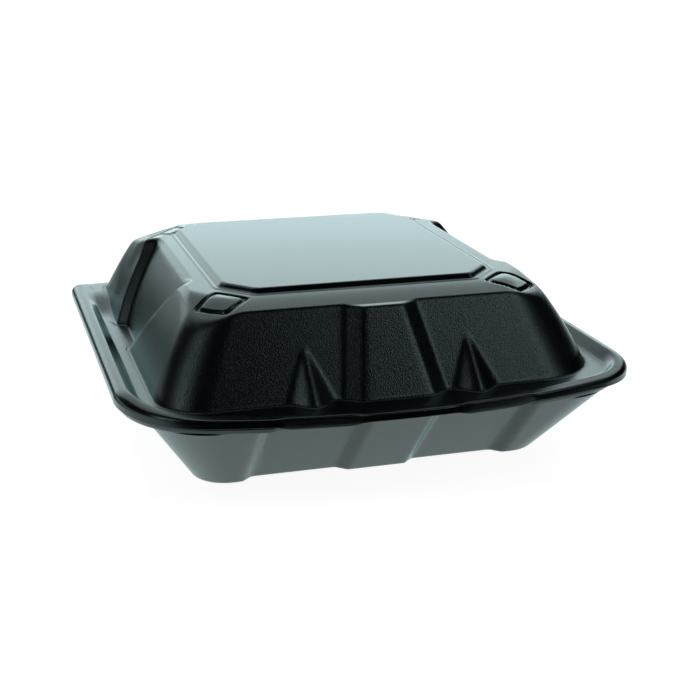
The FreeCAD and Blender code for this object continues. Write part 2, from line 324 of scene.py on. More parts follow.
class Skin:
    """Rows of points round the ring of columns, gathered into one closed mesh."""

    def __init__(self, columns: Columns) -> None:
        """Starts a skin on a ring of columns."""
        self.columns = columns
        self.rows: list[tuple[Array, Array, Array, Array]] = []

    def add(self, x: Array, y: Array, z: Array, grain: Array | float) -> None:
        """Adds rows of points; each argument is one row or a stack of rows, in millimetres."""
        x, y, z, grain = np.broadcast_arrays(*np.atleast_2d(x, y, z, grain))
        self.rows.append((x, y, z, grain))

    def bridge(
        self, start: Plan, end: Plan, cells: int, height: Height, grain: float
    ) -> None:
        """Adds the rows between two outlines.

        Args:
            start: X and Y of the outline that the rows come from; its last row counts.
            end: The same of the outline that they go to.
            cells: How many cells the gap has.
            height: Height over a point.
            grain: The rows' grain.
        """
        part = np.linspace(0, 1, cells + 1)[1:-1, None]
        x, y = (between(a[-1:], b, part) for a, b in zip(start, end))
        self.add(x, y, height(x, y), grain)

    def rings(self, plan: Octagon, growths: Sequence[float], height: Height, grain: float) -> None:
        """Adds one row on a panel's outline for each growth."""
        for growth in growths:
            x, y = self.columns.panel(plan, growth)
            self.add(x, y, height(x, y), grain)

    def stacked(self) -> tuple[Array, Array, Array, Array]:
        """All rows as four arrays of rows by columns."""
        x, y, z, grain = (np.concatenate([r[i] for r in self.rows]) for i in range(4))
        return x, y, z, grain


def closed_mesh(name: str, skins: Sequence[Skin], reverse_first: bool) -> bpy.types.Object:
    """One closed mesh from two skins that share their rim.

    The first skin's rows, turned round if they run the wrong way, come before the second's. Two
    neighbouring rows and two neighbouring columns make a quad, the last column joins the first,
    and each end is closed on a point in its middle.

    Args:
        name: Name of the object.
        skins: The two skins.
        reverse_first: True if the first skin starts at the rim.

    Returns:
        The object, in the scene, with a point attribute "grain".
    """
    first, second = skins[0].stacked(), skins[1].stacked()
    if reverse_first:
        first = tuple(a[::-1] for a in first)
    x, y, z, grain = (np.concatenate([a, b]) for a, b in zip(first, second))
    rows, n = x.shape
    points = np.stack([x, y, z], axis=-1).reshape(-1, 3)
    poles = np.array([[x[i].mean(), y[i].mean(), z[i].mean()] for i in (0, -1)])
    points = np.concatenate([points, poles]) * MM
    cell = np.arange(rows - 1)[:, None] * n
    here = np.arange(n)[None, :]
    after = (here + 1) % n
    quads = np.stack([cell + here, cell + after, cell + n + after, cell + n + here], axis=-1)
    start, end, last = rows * n, rows * n + 1, (rows - 1) * n
    fan_a = np.stack([np.full(n, start), after[0], here[0]], axis=-1)
    fan_b = np.stack([last + here[0], last + after[0], np.full(n, end)], axis=-1)
    mesh = bpy.data.meshes.new(name)
    faces = [*quads.reshape(-1, 4).tolist(), *fan_a.tolist(), *fan_b.tolist()]
    mesh.from_pydata(points.tolist(), [], faces)
    mesh.polygons.foreach_set("use_smooth", np.ones(len(faces), bool))
    attribute = mesh.attributes.new("grain", "FLOAT", "POINT")
    values = np.concatenate([grain.ravel(), grain[0, :1], grain[-1, :1]])
    attribute.data.foreach_set("value", values.astype(np.float32))
    mesh.validate()
    return placed(name, mesh)


def add_node(
    tree: bpy.types.NodeTree, kind: str, operation: str = "", **values: float
) -> bpy.types.Node:
    """Adds a shader node.

    Args:
        tree: The node tree.
        kind: The node's type, without the leading "ShaderNode".
        operation: Operation of a Math node.
        values: Constants for its inputs, by name, with spaces as underscores.

    Returns:
        The node.
    """
    node = tree.nodes.new("ShaderNode" + kind)
    if operation:
        node.operation = operation
    for name, value in values.items():
        node.inputs[name.replace("_", " ")].default_value = value
    return node


def white_rays(tree: bpy.types.NodeTree) -> bpy.types.NodeSocket:
    """A socket that is 1 for the rays that see pure white: camera, glossy and transmission."""
    rays = add_node(tree, "LightPath")
    seen, more = add_node(tree, "Math", "MAXIMUM"), add_node(tree, "Math", "MAXIMUM")
    tree.links.new(rays.outputs["Is Camera Ray"], seen.inputs[0])
    tree.links.new(rays.outputs["Is Glossy Ray"], seen.inputs[1])
    tree.links.new(seen.outputs[0], more.inputs[0])
    tree.links.new(rays.outputs["Is Transmission Ray"], more.inputs[1])
    return more.outputs[0]


@dataclass(frozen=True)
class FoamFinish:
    """Black foam sheet: a satin skin with a fine pebble that is strongest on the drawn walls."""

    name: str = "black_foam"
    colour: Triple = (0.0026, 0.0031, 0.0035)
    mottle: float = 0.15
    roughness: float = 0.20
    roughness_low: float = -0.02
    roughness_high: float = 0.09
    tint: Triple = (0.80, 0.97, 1.0)
    film: Triple = (0.925, 0.99, 0.995)
    pebble_scale: float = 2500.0
    cell_share: float = 0.75
    cell_depth: float = -0.6
    pebble_height: float = 0.000075

    def material(self) -> bpy.types.Material:
        """Builds the node material.

        Returns:
            A principled material under a thin tinted film: noise less rounded cells, scaled by
            the piece's grain attribute, drives the bump, a wide faint noise varies the colour,
            and the grain also sets the roughness.
        """
        made = bpy.data.materials.new(self.name)
        made.use_nodes = True
        tree, link = made.node_tree, made.node_tree.links.new
        shader = tree.nodes["Principled BSDF"]
        shader.inputs["Specular IOR Level"].default_value = 0.5
        shader.inputs["Specular Tint"].default_value = (*self.tint, 1.0)
        shader.inputs["Coat Weight"].default_value = 1.0
        shader.inputs["Coat IOR"].default_value = 1.02
        shader.inputs["Coat Tint"].default_value = (*self.film, 1.0)
        place = add_node(tree, "TexCoord")
        grain = add_node(tree, "Attribute")
        grain.attribute_name = "grain"
        at, share = place.outputs["Object"], grain.outputs["Fac"]
        self.add_pebble(tree, at, share, shader.inputs["Normal"])
        mottle = add_node(tree, "TexNoise", Scale=60.0, Detail=4.0)
        link(place.outputs["Object"], mottle.inputs["Vector"])
        tone = add_node(tree, "Mix")
        tone.data_type = "RGBA"
        for name, level in (("A", 1.0 - self.mottle), ("B", 1.0 + self.mottle)):
            tone.inputs[name].default_value = (*(c * level for c in self.colour), 1.0)
        link(mottle.outputs["Fac"], tone.inputs["Factor"])
        link(tone.outputs["Result"], shader.inputs["Base Color"])
        satin = add_node(
            tree, "MapRange",
            To_Min=self.roughness + self.roughness_low, To_Max=self.roughness + self.roughness_high,
        )
        link(grain.outputs["Fac"], satin.inputs["Value"])
        link(satin.outputs["Result"], shader.inputs["Roughness"])
        return made

    def add_pebble(
        self, tree: bpy.types.NodeTree, place: bpy.types.NodeSocket, grain: bpy.types.NodeSocket,
        normal: bpy.types.NodeSocket,
    ) -> None:
        """Adds the foam's pebble, as bump.

        Args:
            tree: The material's nodes.
            place: Socket with the object's own coordinates.
            grain: Socket with the grain's strength.
            normal: The shader's normal, which the bump goes to.
        """
        link = tree.links.new
        pebble = add_node(tree, "TexNoise", Scale=self.pebble_scale, Detail=1.0, Roughness=0.55)
        cells = add_node(tree, "TexVoronoi")
        cells.feature = "SMOOTH_F1"
        cells.inputs["Scale"].default_value = self.pebble_scale * self.cell_share
        cells.inputs["Smoothness"].default_value = 0.6
        both = add_node(tree, "Math", "MULTIPLY_ADD")
        both.inputs[1].default_value = self.cell_depth
        height = add_node(tree, "Math", "MULTIPLY")
        bump = add_node(tree, "Bump", Strength=1.0, Distance=self.pebble_height)
        link(place, pebble.inputs["Vector"])
        link(place, cells.inputs["Vector"])
        link(cells.outputs["Distance"], both.inputs[0])
        link(pebble.outputs["Fac"], both.inputs[2])
        link(both.outputs[0], height.inputs[0])
        link(grain, height.inputs[1])
        link(height.outputs[0], bump.inputs["Height"])
        link(bump.outputs["Normal"], normal)


@dataclass(frozen=True)
class Dip:
    """A pair of dipped corners with their lugs, at one end of the shoulder.

    The end is the shoulder's edge in Y, and the way is -1 at the front and 1 at the back.
    """

    end: float
    way: float
    deep: float
    moat: float
    crown: float
    start: Pair = (51.6, -27.0)
    run: Pair = (21.0, 27.0)
    lug: Pair = (61.7, -11.4)
    lug_reach: float = 9.4
    moat_middle: float = 1.0
    moat_half: float = 1.25

    def lower(self, z: Array, shoulder: float, ax: Array, y: Array) -> Array:
        """Heights after the dip and the lug are cut into them.

        The dip is a plane that leaves the shoulder on the line between its two starts. The lug is
        a round diamond, the moat a smooth hollow where the distance to it is small.

        Args:
            z: Heights before.
            shoulder: The shoulder's height.
            ax: Distances from the middle plane.
            y: Places from front to back.

        Returns:
            Heights after.
        """
        out = self.way * (y - self.end)
        fall = (ax - self.start[0]) / self.run[0] + (out - self.start[1]) / self.run[1] - 1.0
        z = smooth_min(z, shoulder - self.deep * fall, 1.1)
        lx, ly = ax - self.lug[0], out - self.lug[1]
        away = (np.sqrt(lx * lx + 1.5) + np.sqrt(ly * ly + 1.5) - self.lug_reach) * 0.7071
        ring = np.clip(1.0 - ((away - self.moat_middle) / self.moat_half) ** 2, 0.0, 1.0)
        crown = self.crown * np.clip(-away / 4.0, 0.0, 1.0)
        return z - self.moat * ring * ring * (3 - 2 * ring) + crown


@dataclass
class Lid:
    """The lid: bead and lip, ledge, ribbed walls, dipped corners with lugs, and the top panel."""

    finish: FoamFinish
    rim: RimPlan = field(default_factory=lambda: RimPlan(right_radius=28.5))
    bottom: float = 38.1
    ledge: float = 40.1
    bead_top: float = 44.1
    lip_top: float = 41.1
    shoulder: float = 74.1
    height: float = 76.0
    sheet: float = 2.2
    foot: Quad = (92.6, -82.4, 99.3, 19.0)
    top: Quad = (72.6, -60.1, 89.0, 15.0)
    right_corner: Pair = (28.0, 17.0)
    back_corner: Pair = (9.0, 12.0)
    plan: Octagon = Octagon(57.5, -42.6, 81.2, 11.2, 12.1)
    rail_start: float = 58.0
    drop: Pair = (-97.0, -64.0)
    spread: Pair = (2.6, 0.4)
    belly: float = 1.6
    dips: tuple[Dip, Dip] = (Dip(-60.1, -1.0, 6.0, 1.05, 0.25), Dip(89.0, 1.0, 5.2, 0.35, 0.0))
    lean: float = 1.7
    lean_run: float = 14.0
    step_run: float = 2.2
    step_roll: float = 0.32
    panel_out: float = 4.3
    panel_run: float = 7.0
    rib_place: float = 34.0
    rib_out: float = 6.3
    rib_top: float = 58.0
    recess_in: float = 4.3
    recess_middle: float = 22.0
    tab_ends: Pair = (18.2, 52.4)
    tab_run: float = 5.0
    tab_rise: float = 0.8
    tab_drop: float = 0.9
    tab_bulge: float = 0.55
    lip_thickness: float = 2.0
    inner_insets: Triple = (2.55, 2.63, 2.0)

    def __post_init__(self) -> None:
        """Lays the ring of columns out, and works out what both skins share."""
        self.ring = self.make_ring()
        self.zero = np.zeros((1, self.ring.count))
        self.back = self.backness()
        self.scale = between(1.0, 0.40, self.back) * self.squeeze()
        self.edge_x, self.edge_y = self.rim_points(self.zero)
        self.tabs = self.tab(self.edge_x)
        self.low = self.bottom - self.tab_drop * self.tabs

    def make_ring(self) -> Columns:
        """The lid's ring of columns, close together where a rib, a tab or a lug needs it."""
        front = keys(
            (0, 0, 0, 0, 5), (12.5, 14, 7, 10, 10), (17.9, 21.8, 14.8, 16, 5),
            (23.4, 24.5, 25.5, 22, 20), (47.2, 43.5, 42.5, 36, 6), (52.6, 51, 47, 39, 13),
            (67, 73.6, 57.6, 46.3, 0),
        )
        side = keys(
            (-55.65, -63.4, -45.1, -30.5, 16), (-40, -50, -32, -20, 10), (-12, 2, -22, -12, 8),
            (0, 10, -14, -6, 14), (45, 36.2, 60.2, 53, 8), (55, 40.6, 64.6, 57, 10),
            (80, 72, 70, 63, 8), (88, 80.3, 74, 69.1, 0),
        )
        back = keys(
            (0, 0, 0, 0, 10), (55, 50, 46, 36, 10), (90, 73.6, 57.6, 46.3, 0),
        )
        return Columns(front, side, back, 36)

    def bead(self, y: Array) -> Array:
        """Height of the bead's top: level along the sides, sinking to the low lip at the front."""
        low, high = self.drop
        share = ramp((y - low) / (high - low), 0.12)
        return between(self.lip_top, self.bead_top, share)

    def tab(self, x: Array) -> Array:
        """1 on a front tab and 0 elsewhere, with ends that swell over five millimetres."""
        place = np.abs(x)
        start, end = self.tab_ends
        swell = ramp((place - start) / self.tab_run, 0.3) * ramp((end - place) / self.tab_run, 0.3)
        return np.where(self.ring.on(Wall.FRONT), swell, 0.0)

    def floor(self, y: Array) -> Array:
        """Height of the ledge, which rises to the level of the bead near the hinge."""
        return between(self.ledge, self.bead_top, ramp((y - self.rail_start) / 21.0, 0.3))

    def rim_height(self, inset: Array, y: Array, tab: Array) -> Array:
        """Height over the bead or lip: a rounded outer edge, a top, and a slope to the ledge.

        Args:
            inset: Distance in from the rim's outer edge.
            y: Place from front to back.
            tab: 1 on a tab, 0 elsewhere.

        Returns:
            The lower of a quarter ellipse, wider than it is tall on the bead, and the slope.
        """
        share = (self.bead(y) - self.lip_top) / (self.bead_top - self.lip_top)
        top = self.bead(y) + self.tab_rise * tab
        floor = self.floor(y)
        run, rise = between(1.1, 5.4, share), between(1.0, 4.0, share)
        off = np.clip(1.0 - inset / run, 0.0, 1.0)
        round_off = top - rise + rise * np.sqrt(1.0 - off * off)
        wide = ramp((y + 101.0) / 9.0, 0.15)
        inner_top = between(1.9, 5.3, wide)
        inner_foot = between(3.8, between(7.4, 9.0, share), wide)
        slope = floor + (top - floor) * ramp((inner_foot - inset) / (inner_foot - inner_top), 0.16)
        return smooth_min(round_off, slope, between(0.2, 0.45, share))

    def roof(self, x: Array, y: Array) -> Array:
        """Height of the shoulder, dipped corners, lugs and top panel over a point.

        The shoulder is level and leans down a little in front of the panel. The dips are cut into
        it, and the panel rises where the distance inside the octagon reaches the step's run.
        """
        ax = np.abs(x)
        forward = np.clip((self.plan.front - 3.0 - y) / self.lean_run, 0.0, 1.2)
        z = self.shoulder - self.lean * forward ** 1.5 + 0.0 * ax
        for dip in self.dips:
            z = dip.lower(z, self.shoulder, ax, y)
        outer = smooth_max(ax - self.plan.half, self.plan.front - y, 1.5)
        outer = smooth_max(outer, y - self.plan.back, 1.5)
        slant = 1.0 / math.hypot(1 / self.plan.cut_x, 1 / self.plan.cut_y)
        for edge, sign in ((self.plan.front, -1.0), (self.plan.back, 1.0)):
            past_x = (ax - self.plan.half) / self.plan.cut_x
            past_y = sign * (y - edge) / self.plan.cut_y
            outer = smooth_max(outer, (past_x + past_y + 1.0) * slant, 1.5)
        step = ramp((self.step_run - outer) / self.step_run, 0.2)
        roll = np.clip(1.0 - ((outer - 3.3) / 1.1) ** 2, 0.0, 1.0)
        return z + (self.height - self.shoulder) * step + self.step_roll * roll * roll

    def wall_points(
        self, share: Array, inset: float, front_inset: float, thin: float
    ) -> Plan:
        """Plan of the walls at some shares of their height.

        The outline is a rectangle with round corners, blended from foot to shoulder. The front
        wall's middle panel and two buttresses stand out of it, and the side walls' middles lie
        back between pilasters.

        Args:
            share: Shares of the wall's height, as a column of rows.
            inset: How far the skin lies inside the outer face at the sides.
            front_inset: The same at the front.
            thin: How much slimmer the ribs are on the inner face.

        Returns:
            X and Y, rows by columns.
        """
        ox, oy = self.ring.along(share)
        half, front, back, radius = (between(a, b, share) for a, b in zip(self.foot, self.top))
        reach = self.ring.outline(half - inset, front + front_inset, back - inset, radius - inset)
        reach = self.rounded(ox, oy, share, reach, inset)
        z = between(self.ledge, self.shoulder, share)
        ax = np.abs(ox)
        half_panel = between(14.5, 7.6, share) - thin / 2
        panel = self.panel_out * ramp((half_panel + self.panel_run - ax) / self.panel_run, 0.14)
        high = ramp((57.6 - z) / 17.5, 0.12)
        wide = np.maximum(1.5 + 7.4 * high - thin * 0.6, 0.6)
        nose = np.maximum(self.rib_out * ramp((self.rib_top - z) / 17.0, 0.1) - thin * 0.5, 0.0)
        rib = nose * ramp(1.22 * (1.0 - np.abs(ax - self.rib_place) / wide), 0.34)
        reach = reach + np.where(self.ring.on(Wall.FRONT), panel + rib, 0.0)
        is_behind = oy > self.recess_middle
        run = np.where(is_behind, 2.6, 7.0)
        ends = between(12.5, 36.5, share) + thin * 0.6 + np.where(is_behind, 2.3, 0.0)
        recess = self.recess_in * ramp((ends + run - np.abs(oy - self.recess_middle)) / run, 0.12)
        sides = self.ring.on(Wall.RIGHT) | self.ring.on(Wall.LEFT)
        reach = reach - np.where(sides, recess, 0.0)
        held = np.clip(share, 0.0, 1.0)
        reach = reach + 4.0 * self.belly * held * (1.0 - held) * self.ring.nx ** 2
        behind = np.where(sides, ramp((oy - 59.0) / 9.0, 0.2), 0.0)
        behind = np.where(self.ring.on(Wall.CORNER) & (self.ring.sy > 0), self.ring.nx ** 2, behind)
        reach = reach + np.where(self.ring.nx < 0, *self.spread) * held * behind
        return ox + self.ring.nx * reach, oy + self.ring.ny * reach

    def rounded(
        self, ox: Array, oy: Array, share: Array, reach: Array, inset: float
    ) -> Array:
        """Reach held inside the wide round of the right front corner and the tight back ones.

        Round the back corners the reach first goes out to the two straight sides. Where a point
        lies beyond an arc's two ends, it moves back along its column's direction to the circle
        of that radius which touches both sides.

        Args:
            ox: The columns' origins, in X.
            oy: The same in Y.
            share: Shares of the wall's height, as a column of rows.
            reach: Distances from the origins to the plain outline.
            inset: How far the skin lies inside the outer face.

        Returns:
            Distances from the origins to the rounded outline.
        """
        half, front, back = (between(self.foot[i], self.top[i], share) for i in range(3))
        is_back = self.ring.on(Wall.CORNER) & (self.ring.sy > 0)
        to_side = (half - inset - np.abs(ox)) / np.maximum(np.abs(self.ring.nx), 1e-6)
        to_back = (back - inset - oy) / np.maximum(self.ring.ny, 1e-6)
        reach = np.where(is_back, np.minimum(to_side, to_back), reach)
        for sx, sy, line, radius in (
            (1.0, -1.0, front, between(*self.right_corner, share)),
            (1.0, 1.0, back, between(*self.back_corner, share)),
            (-1.0, 1.0, back, between(*self.back_corner, share)),
        ):
            mx, my = sx * (half - radius), line - sy * radius
            x, y = ox + self.ring.nx * reach, oy + self.ring.ny * reach
            held = (sx * (x - mx) > 0) & (sy * (y - my) > 0)
            arc = far_side((ox, oy), (self.ring.nx, self.ring.ny), (mx, my), radius - inset)
            reach = np.where(held, np.minimum(arc, reach), reach)
        return reach

    def rim_points(self, inset: Array) -> Plan:
        """Plan of the rim's outline drawn in by some insets, rows by columns."""
        ox, oy = self.ring.origin["rim"]
        t = self.rim.reach(self.ring, inset, inset)
        return ox + self.ring.nx * t, oy + self.ring.ny * t

    def squeeze(self) -> Array:
        """Share of each inset that is kept, smallest in the middle of the front corners."""
        turn = np.clip(4.0 * (self.ring.nx * self.ring.ny) ** 2, 0.0, 1.0)
        return np.where(self.ring.on(Wall.CORNER) & (self.ring.sy < 0), 1.0 - 0.14 * turn, 1.0)

    def backness(self) -> Array:
        """0 on the sides and front, 1 on the back wall, changing smoothly round the corners."""
        turn = np.clip(self.ring.ny, 0.0, 1.0) ** 2
        turn = np.where(self.ring.sy > 0, turn, 0.0)
        turn = np.where(self.ring.on(Wall.CORNER), turn, 0.0)
        return np.where(self.ring.on(Wall.BACK), 1.0, turn)

    def outer(self) -> Skin:
        """Outside of the lid, from the bottom edge of the rim to the middle of the top panel."""
        skin = Skin(self.ring)
        bulge = -self.tab_bulge * self.tabs
        top = self.rim_height(self.zero, self.edge_y, self.tabs)
        edge_grain = 0.4 + 1.2 * self.tabs
        skin.add(self.edge_x, self.edge_y + bulge * 0.7, self.low, edge_grain)
        for part in (0.1, 0.5, 0.9):
            skin.add(self.edge_x, self.edge_y + bulge, between(self.low, top, part), edge_grain)
        insets = np.array([
            0.0, 0.05, 0.16, 0.36, 0.65, 1.0, 1.4, 1.9, 2.5, 3.1,
            3.8, 4.5, 5.1, 5.7, 6.3, 7.0, 7.7, 8.4, 9.0, 9.6,
        ])
        inset = insets[:, None] * self.scale
        x, y = self.rim_points(inset)
        z = self.rim_height(inset, y, self.tabs)
        y_out = y + bulge * np.clip(1 - inset / 2.0, 0, 1)
        skin.add(x, y_out, z, np.where(inset < 1.0, edge_grain, 0.3))
        start = between(-0.05, 0.125, self.back)
        wall = self.wall_points(start[None, :], 0.0, 0.0, 0.0)
        skin.bridge((x, y), wall, 7, lambda _, at: self.floor(at), 0.3)
        rows = np.concatenate([
            np.linspace(0.0, 0.14, 11), np.linspace(0.14, 0.88, 26)[1:],
            np.linspace(0.88, 1.10, 15)[1:],
        ])[:, None]
        share = start + (rows[-1] - start) * rows / rows[-1]
        wx, wy = self.wall_points(share, 0.0, 0.0, 0.0)
        climb = between(self.ledge, self.shoulder, share)
        side = self.ring.nx ** 2 * (1.0 - ramp((self.ring.along(1.0)[1] - 56.0) / 8.0))
        soft = between(1.4, 3.0, side)
        wz = smooth_max(smooth_min(climb, self.roof(wx, wy), soft), self.floor(wy), 1.1)
        faded = np.clip((share - 0.90) / 0.12, 0, 1)
        skin.add(wx, wy, wz, np.clip(1.15 - 1.1 * faded, 0.05, 1.0))
        growths = (
            3.6, 2.9, 2.4, 2.0, 1.5, 1.0, 0.5, 0.0,
            -0.5, -1.2, -2.4, -5.0, -12.0, -24.0, -38.0,
        )
        skin.bridge((wx, wy), self.ring.panel(self.plan, growths[0]), 33, self.roof, 0.12)
        skin.rings(self.plan, growths, self.roof, 0.08)
        return skin

    def inner(self) -> Skin:
        """Inside of the lid, from the bottom edge of the rim to the middle of the ceiling."""
        skin = Skin(self.ring)
        for step in (0.7, 1.4, 2.0):
            x, y = self.rim_points(self.zero + step)
            skin.add(x, y, self.low, 0.5)
        for step in (2.15, 2.4, 2.9, 3.4, 4.0, 4.8, 5.6, 6.4, 7.2, 8.0, 9.2):
            inset = self.lip_thickness + (step - self.lip_thickness) * self.scale + self.zero
            x, y = self.rim_points(inset)
            under = self.rim_height(inset + 0.9, y, self.zero) - self.lip_thickness
            under = between(np.maximum(under, self.bottom), self.bottom, self.back)
            skin.add(x, y, under, 0.5)
        start = -0.059
        wall = self.wall_points(np.array([[start]]), *self.inner_insets)

        def flat(_: Array, at: Array) -> Array:
            """Height of the ledge's underside, which sinks to the bottom at the hinge."""
            return between(self.floor(at) - self.lip_thickness, self.bottom, self.back)

        skin.bridge((x, y), wall, 4, flat, 0.5)
        rows = [np.linspace(start, 0.85, 18), np.linspace(0.85, 1.03, 9)[1:]]
        share = np.concatenate(rows)[:, None]
        wx, wy = self.wall_points(share, *self.inner_insets)
        climb = between(self.ledge, self.shoulder, share)
        soft = between(1.0, 2.6, self.ring.nx ** 2)
        wz = smooth_max(smooth_min(climb, self.roof(wx, wy) - self.sheet, soft), flat(wx, wy), 0.5)
        skin.add(wx, wy, wz, 1.0)
        growths = (1.4, 0.4, -0.4, -1.2, -2.4, -5.0, -12.0, -38.0)
        ring = self.ring.panel(self.plan, growths[0])
        skin.bridge((wx, wy), ring, 15, lambda a, b: self.roof(a, b) - self.sheet, 0.6)
        skin.rings(self.plan, growths, lambda a, b: self.roof(a * 1.02, b) - self.sheet, 0.6)
        return skin

    def build(self) -> bpy.types.Object:
        """Builds the lid, dresses it, and puts it on its body in place of the CAD lid."""
        lid = closed_mesh("lid_shell", (self.inner(), self.outer()), True)
        lid.data.materials.append(self.finish.material())
        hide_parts("lid")
        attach(lid, "cover")
        return lid


@dataclass
class Tray:
    """The tray: flat rim with a notch under the tabs, panelled walls and a flat base."""

    finish: FoamFinish
    rim: RimPlan = field(default_factory=lambda: RimPlan(left_radius=41.0, right_radius=39.0))
    top: float = 37.9
    rim_thickness: float = 2.7
    setback: float = 1.0
    notch_edge: float = -96.6
    notch_half: float = 53.5
    rise: float = 38.0
    sheet: float = 2.2
    mouth: Quad = (98.5, -96.0, 91.0, 27.0)
    foot: Quad = (75.0, -60.5, 66.0, 14.0)
    base: Octagon = Octagon(40.0, -30.0, 35.0, 10.0, 10.0)
    recess_in: float = 4.0
    recess_run: float = 4.5
    front_recess: Pair = (12.4, 57.1)
    side_recess: Pair = (8.0, 30.5)
    inner_wider: float = 1.4

    def __post_init__(self) -> None:
        """Lays the ring of columns out."""
        self.ring = self.make_ring()

    def make_ring(self) -> Columns:
        """The tray's ring of columns. Its foot level is the mouth and its top level the base."""
        front = keys(
            (0, 0, 0, 0, 8), (12, 12, 12, 6, 8), (17.4, 17.4, 17.4, 9, 16), (51.5, 52, 43, 24, 8),
            (57.5, 58, 45, 26, 8), (67, 71.5, 61, 30, 0),
        )
        side = keys(
            (-55.65, -69, -46.5, -20, 16), (-24, -24, -23.5, -12, 8), (-17, -17, -17.5, -9, 16),
            (33, 33, 33.5, 17, 8), (40, 40, 39.5, 20, 14), (92, 64, 52, 25, 0),
        )
        back = keys((0, 0, 0, 0, 20), (92, 71.5, 61, 30, 0))
        return Columns(front, side, back, 22)

    def wall_points(
        self, share: Array, inset: float, front_inset: float, thin: float
    ) -> Plan:
        """Plan of the walls at some shares of the way from the mouth down to the base.

        Args:
            share: 0 at the mouth and 1 at the base, as a column of rows.
            inset: How far the skin lies inside the outer face at the sides.
            front_inset: The same at the front.
            thin: How much wider the recesses are on the inner face.

        Returns:
            X and Y, rows by columns.
        """
        ox, oy = self.ring.along(share)
        half, front, back, radius = (between(a, b, share) for a, b in zip(self.mouth, self.foot))
        reach = self.ring.outline(half - inset, front + front_inset, back - inset, radius - inset)
        ax = np.abs(ox)
        (near, far), (middle, reach_y), run = self.front_recess, self.side_recess, self.recess_run
        both_ends = ramp((ax - near + thin) / run, 0.12) * ramp((far + thin - ax) / run, 0.12)
        reach = reach - np.where(self.ring.on(Wall.FRONT), self.recess_in * both_ends, 0.0)
        recess = self.recess_in * ramp((reach_y + thin - np.abs(oy - middle)) / run, 0.12)
        sides = self.ring.on(Wall.RIGHT) | self.ring.on(Wall.LEFT)
        reach = reach - np.where(sides, recess, 0.0)
        return ox + self.ring.nx * reach, oy + self.ring.ny * reach

    def rim_points(self, inset: float) -> Plan:
        """Plan of the rim's outline drawn in, and set back between the ends of the tabs."""
        ox, oy = self.ring.origin["rim"]
        t = self.rim.reach(self.ring, self.setback + inset + np.zeros((1, self.ring.count)), inset)
        x, y = ox + self.ring.nx * t, oy + self.ring.ny * t
        edge = self.notch_edge + inset
        deep = ramp((self.notch_half - np.abs(x)) / 3.5, 0.3)
        held = np.where(self.ring.on(Wall.FRONT), between(y, np.maximum(y, edge), deep), y)
        return x, held

    def outer(self) -> Skin:
        """Outside of the tray, from the middle of the base up to the top edge of the rim."""
        skin = Skin(self.ring)
        foot = self.wall_points(np.array([[1.07]]), 0.0, 0.0, 0.0)
        skin.rings(self.base, (-20.0, 0.0), lambda a, b: 0.0, 0.5)
        edge = np.atleast_2d(*self.ring.panel(self.base, 0.0))
        skin.bridge(edge, foot, 6, lambda a, b: 0.0, 0.5)
        share = np.concatenate([
            np.linspace(1.07, 0.90, 13), np.linspace(0.90, 0.085, 24)[1:], [0.080, 0.078],
        ])[:, None]
        wx, wy = self.wall_points(share, 0.0, 0.0, 0.0)
        wz = smooth_max(self.rise * (1 - share), 0.0 * wx, 1.3)
        wz[0] = 0.0
        skin.add(wx, wy, wz, 0.75)
        under = self.top - self.rim_thickness
        skin.bridge((wx, wy), self.rim_points(1.4), 4, lambda a, b: under, 0.3)
        for inset, z in (
            (1.4, under), (1.1, under + 0.12), (0.8, under + 0.7), (0.4, under + 1.5),
            (0.0, self.top - 0.4), (0.1, self.top - 0.1),
        ):
            rx, ry = self.rim_points(inset)
            skin.add(rx, ry, z, 0.3)
        return skin

    def inner(self) -> Skin:
        """Inside of the tray, from the top edge of the rim to the middle of the floor."""
        skin = Skin(self.ring)
        inset = self.sheet * math.hypot(self.mouth[0] - self.foot[0], self.rise) / self.rise
        front_inset = self.sheet * math.hypot(self.foot[1] - self.mouth[1], self.rise) / self.rise
        for step in (0.5, 1.5):
            rx, ry = self.rim_points(step)
            skin.add(rx, ry, self.top, 0.3)
        mouth = self.wall_points(np.array([[-0.03]]), inset, front_inset, self.inner_wider)
        skin.bridge((rx, ry), mouth, 4, lambda a, b: self.top, 0.3)
        share = np.concatenate([
            np.linspace(-0.03, 0.05, 7), np.linspace(0.05, 0.84, 20)[1:],
            np.linspace(0.84, 1.02, 10)[1:],
        ])[:, None]
        wx, wy = self.wall_points(share, inset, front_inset, self.inner_wider)
        under_rim = smooth_min(self.rise * (1 - share), self.top + 0.0 * wx, 0.5)
        wz = smooth_max(under_rim, self.sheet, 1.3)
        wz[-1] = self.sheet
        skin.add(wx, wy, wz, 0.75)
        skin.bridge((wx, wy), self.ring.panel(self.base, 0.0), 6, lambda a, b: self.sheet, 0.6)
        skin.rings(self.base, (0.0, -20.0), lambda a, b: self.sheet, 0.6)
        return skin

    def build(self) -> bpy.types.Object:
        """Builds the tray, dresses it, and puts it on its body in place of the CAD tray."""
        tray = closed_mesh("tray_shell", (self.outer(), self.inner()), False)
        tray.data.materials.append(self.finish.material())
        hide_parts("base_tray")
        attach(tray, "tray")
        return tray


